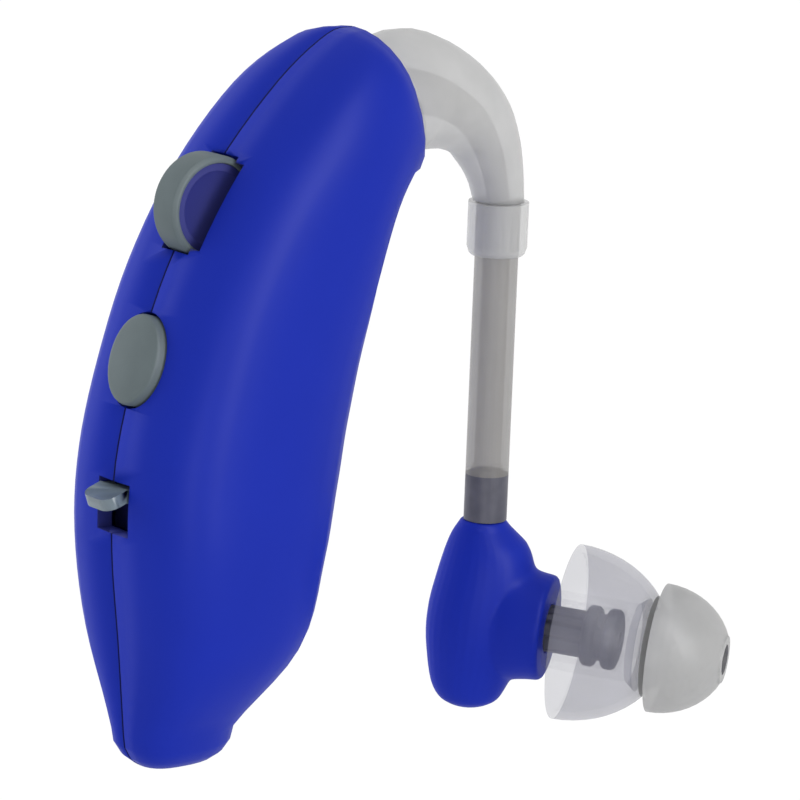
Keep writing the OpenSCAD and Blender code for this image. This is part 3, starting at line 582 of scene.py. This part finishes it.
class HEARING_AID_OT_hook(bpy.types.Operator):
    """Clear ear hook, its bore, and the collar at its end"""
    bl_idname = "hearing_aid.hook"
    bl_label = "Ear hook"

    def execute(self, context):
        look = context.scene.ha_clear
        # Moulded clear nylon, milky from its wall: light grey, with the bore's painted shade showing through
        # as a darker band
        clear = surface("Clear nylon", look.hook, vary=0.05, grain=3.0, alpha=0.72, Roughness=0.35,
                        Specular_IOR_Level=0.12, IOR=1.53)
        # The wall of the bore, painted darker with the shade of the passage
        bore = surface("Nylon bore wall painted shade", look.hook_bore_shade, vary=0.03, grain=3.0, alpha=0.75, Roughness=0.6,
                       Specular_IOR_Level=0.1, IOR=1.53)
        hook = twin("ear_hook", "ear_hook_moulded")
        smooth(hook, math.radians(40))
        coat(hook, clear, bore)
        # Painted shade on the faces of the bore
        paint(hook, 1, lambda c, n: hook.ray_cast(c + n * 0.02 * MM, n, distance=BORE_REACH)[0])
        dress(hook, "housing", "hook_clear", "ear_hook")
        # Milky vinyl, whiter than the tube under it
        milky = surface("Milky vinyl collar", look.collar, vary=0.02, grain=2.0, alpha=0.5, Roughness=0.4,
                        Specular_IOR_Level=0.12, IOR=1.53)
        collar = twin("tube_collar", "tube_collar_moulded")
        coat(collar, milky)
        smooth(collar, math.radians(40))
        dress(collar, "housing", "collar_white", "tube_collar")
        return {"FINISHED"}


class HEARING_AID_OT_tube(bpy.types.Operator):
    """Clear tube with its bore and the dark stem in its lower end"""
    bl_idname = "hearing_aid.tube"
    bl_label = "Sound tube"

    def execute(self, context):
        look = context.scene.ha_clear
        # Extruded clear PVC: a grey wall, lighter at its sides, with the bore's painted shade showing as a
        # warm darker band
        wall = surface("Clear PVC wall", look.tube, vary=0.03, grain=4.0, alpha=0.6, Roughness=0.35,
                       Specular_IOR_Level=0.12, IOR=1.53)
        # The wall of the bore, painted darker with the shade of the passage
        bore = surface("PVC bore wall painted shade", look.tube_bore_shade, vary=0.03, grain=4.0, alpha=0.3, Roughness=0.5,
                       Specular_IOR_Level=0.1, IOR=1.53)
        # The same wall over the dark stem: the round tube is a lens that spreads the grey to its full width
        lens = surface("Clear PVC over the stem", look.lens, vary=0.12, grain=1.6, alpha=0.92, Roughness=0.35,
                       Specular_IOR_Level=0.12, IOR=1.53)
        # Glass-filled nylon: dark grey and dull
        dark = surface("Filled nylon grey", look.stem, vary=0.08, grain=1.2, bump=0.2, bump_mm=0.15,
                       Roughness=0.5, Specular_IOR_Level=0.12, IOR=1.53)
        tube = twin("sound_tube", "sound_tube_extruded")
        coat(tube, wall, bore, lens)
        # A ring of edges on the wall where the stem ends
        edit(tube)
        bpy.ops.mesh.select_all(action="SELECT")
        bpy.ops.mesh.bisect(plane_co=TUBE_END + UP_TUBE * STEM_TOP, plane_no=UP_TUBE)
        done()
        smooth(tube, math.radians(30))
        # Painted shade on the faces of the bore above the stem
        paint(tube, 1, lambda c, n: off_axis(c, TUBE_END, UP_TUBE)[0] < BORE_SKIN
              and off_axis(c, TUBE_END, UP_TUBE)[1] > STEM_TOP)
        paint(tube, 2, lambda c, n: off_axis(c, TUBE_END, UP_TUBE)[0] > TUBE_SKIN
              and off_axis(c, TUBE_END, UP_TUBE)[1] < STEM_TOP)
        dress(tube, "housing", "tube_clear", "sound_tube")
        for node in ("tube_stem", "ear_nozzle"):
            piece = twin(node, node + "_moulded")
            coat(piece, dark)
            smooth(piece, math.radians(35))
            dress(piece, "elbow", "spigot_grey", node)
        return {"FINISHED"}


class HEARING_AID_OT_elbow(bpy.types.Operator):
    """Elbow whose neck flows into its body"""
    bl_idname = "hearing_aid.elbow"
    bl_label = "Elbow"

    def execute(self, context):
        look = context.scene.ha_housing
        piece = twin("elbow", "elbow_moulded")
        apply(piece, "REMESH", mode="VOXEL", voxel_size=look.elbow_grain, use_smooth_shade=True)
        # The crease round the neck's root is relaxed into a fillet; bores, rims and the neck's end stay
        root = piece.vertex_groups.new(name="Neck root")
        for v in piece.data.vertices:
            far, s = off_axis(v.co, BEND, EAR_WAY)
            up = (v.co - BEND).dot(UP_TUBE)
            pull = 1 - abs(s - ROOT_AT) / ROOT_REACH
            if pull > 0 and far > ROOT_R and up < ROOT_TOP:
                root.add([v.index], pull, "REPLACE")
        apply(piece, "SMOOTH", factor=0.5, iterations=look.neck_blend, vertex_group="Neck root")
        coat(piece, bpy.data.materials["Moulded ABS blue"])
        smooth(piece, math.radians(60))
        dress(piece, "elbow", "shell_blue", "elbow")
        return {"FINISHED"}


class HEARING_AID_OT_tip(bpy.types.Operator):
    """Soft ear tip with its large and small flange"""
    bl_idname = "hearing_aid.tip"
    bl_label = "Ear tip"

    def execute(self, context):
        look = context.scene.ha_tip
        # Liquid silicone, thin wall: clear with a lavender-grey cast, so the nozzle shows through it
        thin = surface("Silicone thin wall", look.flange, vary=0.05, grain=2.5, alpha=look.flange_alpha,
                       Roughness=0.35, Specular_IOR_Level=0.2, IOR=1.41)
        # The same silicone where it is thick: milky and nearly opaque
        thick = surface("Silicone thick wall", look.cap, vary=0.03, grain=2.5, alpha=look.cap_alpha,
                        Roughness=0.4, Specular_IOR_Level=0.15, IOR=1.41)
        # Inner faces of the clear silicone, which hardly show: only the outer skin has the flange's colour
        sleeve = surface("Silicone inner face", look.flange, vary=0.02, grain=2.5, alpha=0.04, Roughness=0.4,
                         Specular_IOR_Level=0.05, IOR=1.41)
        piece = twin("ear_tip", "ear_tip_moulded")
        coat(piece, thin, thick, sleeve)
        smooth(piece, math.radians(30))
        paint(piece, 2, lambda c, n: inner_face(c, n) or off_axis(c, NOSE, EAR_WAY)[1] < CORE
              and off_axis(c, NOSE, EAR_WAY)[0] < CORE_R)
        paint(piece, 1, lambda c, n: off_axis(c, NOSE, EAR_WAY)[1] > CAP and not inner_face(c, n)
              or off_axis(c, NOSE, EAR_WAY)[1] > OUTLET)
        dress(piece, "tip", "tip_silicone", "ear_tip")
        return {"FINISHED"}


class HEARING_AID_OT_inside(bpy.types.Operator):
    """Finishes of the pieces inside the housing"""
    bl_idname = "hearing_aid.inside"
    bl_label = "Inner pieces"

    def execute(self, context):
        # Drawn stainless steel: bright, with a clean reflection
        metal = surface("Bright steel", "B9BCC0", vary=0.04, grain=0.8, Roughness=0.28, Metallic=1.0)
        # Moulded PBT: nearly black and matt
        black = surface("Black PBT", "303030", vary=0.08, grain=1.5, bump=0.2, bump_mm=0.15, Roughness=0.55,
                        Specular_IOR_Level=0.4, IOR=1.55)
        # Solder mask over woven glass: green, a little uneven, with a soft gloss
        green = surface("Solder-masked laminate", "1C6B3A", vary=0.12, grain=0.6, Roughness=0.35,
                        Specular_IOR_Level=0.5, IOR=1.5)
        # Gilt brass: a warm, slightly worn shine
        brass = surface("Gilt brass", "B08D57", vary=0.06, grain=0.8, Roughness=0.3, Metallic=1.0)
        # Seen through the lever's slot and beside the wheel: their navy is painted shade for the dark inside
        # the slots
        navy = bpy.data.materials["Acetal dark blue"]
        # Moulded silicone: milky and dull
        soft = surface("Milky silicone", "D8D8D4", vary=0.04, grain=1.5, Roughness=0.45,
                       Specular_IOR_Level=0.4, IOR=1.41)
        for m, nodes in ((metal, ("wheel_shaft", "microphone", "receiver", "hook_nozzle", "hinge_pin",
                                  "battery_cell")),
                         (black, ("button_switch", "amplifier_chip", "microphone_boot", "receiver_boot")),
                         (navy, ("volume_control", "slide_switch")),
                         (green, ("circuit_board",)), (brass, ("capacitor", "cell_contact")),
                         (soft, ("inner_tube",))):
            for n in nodes:
                coat(frame["nodes"][n], m)
        return {"FINISHED"}


class HEARING_AID_PT_panel(bpy.types.Panel):
    """Lists the pieces in the sidebar"""
    bl_idname = "HEARING_AID_PT_panel"
    bl_label = "Hearing aid"
    bl_space_type = "VIEW_3D"
    bl_region_type = "UI"
    bl_category = "Hearing aid"

    def draw(self, context):
        for step in STEPS:
            self.layout.operator(step.bl_idname)
        for name, _ in GROUPS:
            group = getattr(context.scene, name)
            box = self.layout.box()
            for key in group.__annotations__:
                box.prop(group, key)


STEPS = (HEARING_AID_OT_stage, HEARING_AID_OT_housing, HEARING_AID_OT_wheel, HEARING_AID_OT_button,
         HEARING_AID_OT_lever, HEARING_AID_OT_hook, HEARING_AID_OT_tube, HEARING_AID_OT_elbow,
         HEARING_AID_OT_tip, HEARING_AID_OT_inside)
GROUPS = (("ha_housing", HousingLook), ("ha_control", ControlLook), ("ha_clear", ClearLook),
          ("ha_tip", TipLook), ("ha_stage", StageLook))


def register():
    for name, group in GROUPS:
        bpy.utils.register_class(group)
        setattr(bpy.types.Scene, name, bpy.props.PointerProperty(type=group))
    for c in (*STEPS, HEARING_AID_PT_panel):
        bpy.utils.register_class(c)


def unregister():
    for c in (HEARING_AID_PT_panel, *reversed(STEPS)):
        bpy.utils.unregister_class(c)
    for name, group in reversed(GROUPS):
        delattr(bpy.types.Scene, name)
        bpy.utils.unregister_class(group)


def main():
    register()
    bpy.ops.hearing_aid.stage()
    bpy.ops.hearing_aid.housing()
    bpy.ops.hearing_aid.wheel()
    bpy.ops.hearing_aid.button()
    bpy.ops.hearing_aid.lever()
    bpy.ops.hearing_aid.hook()
    bpy.ops.hearing_aid.tube()
    bpy.ops.hearing_aid.elbow()
    bpy.ops.hearing_aid.tip()
    bpy.ops.hearing_aid.inside()


if __name__ == "__main__":
    main()
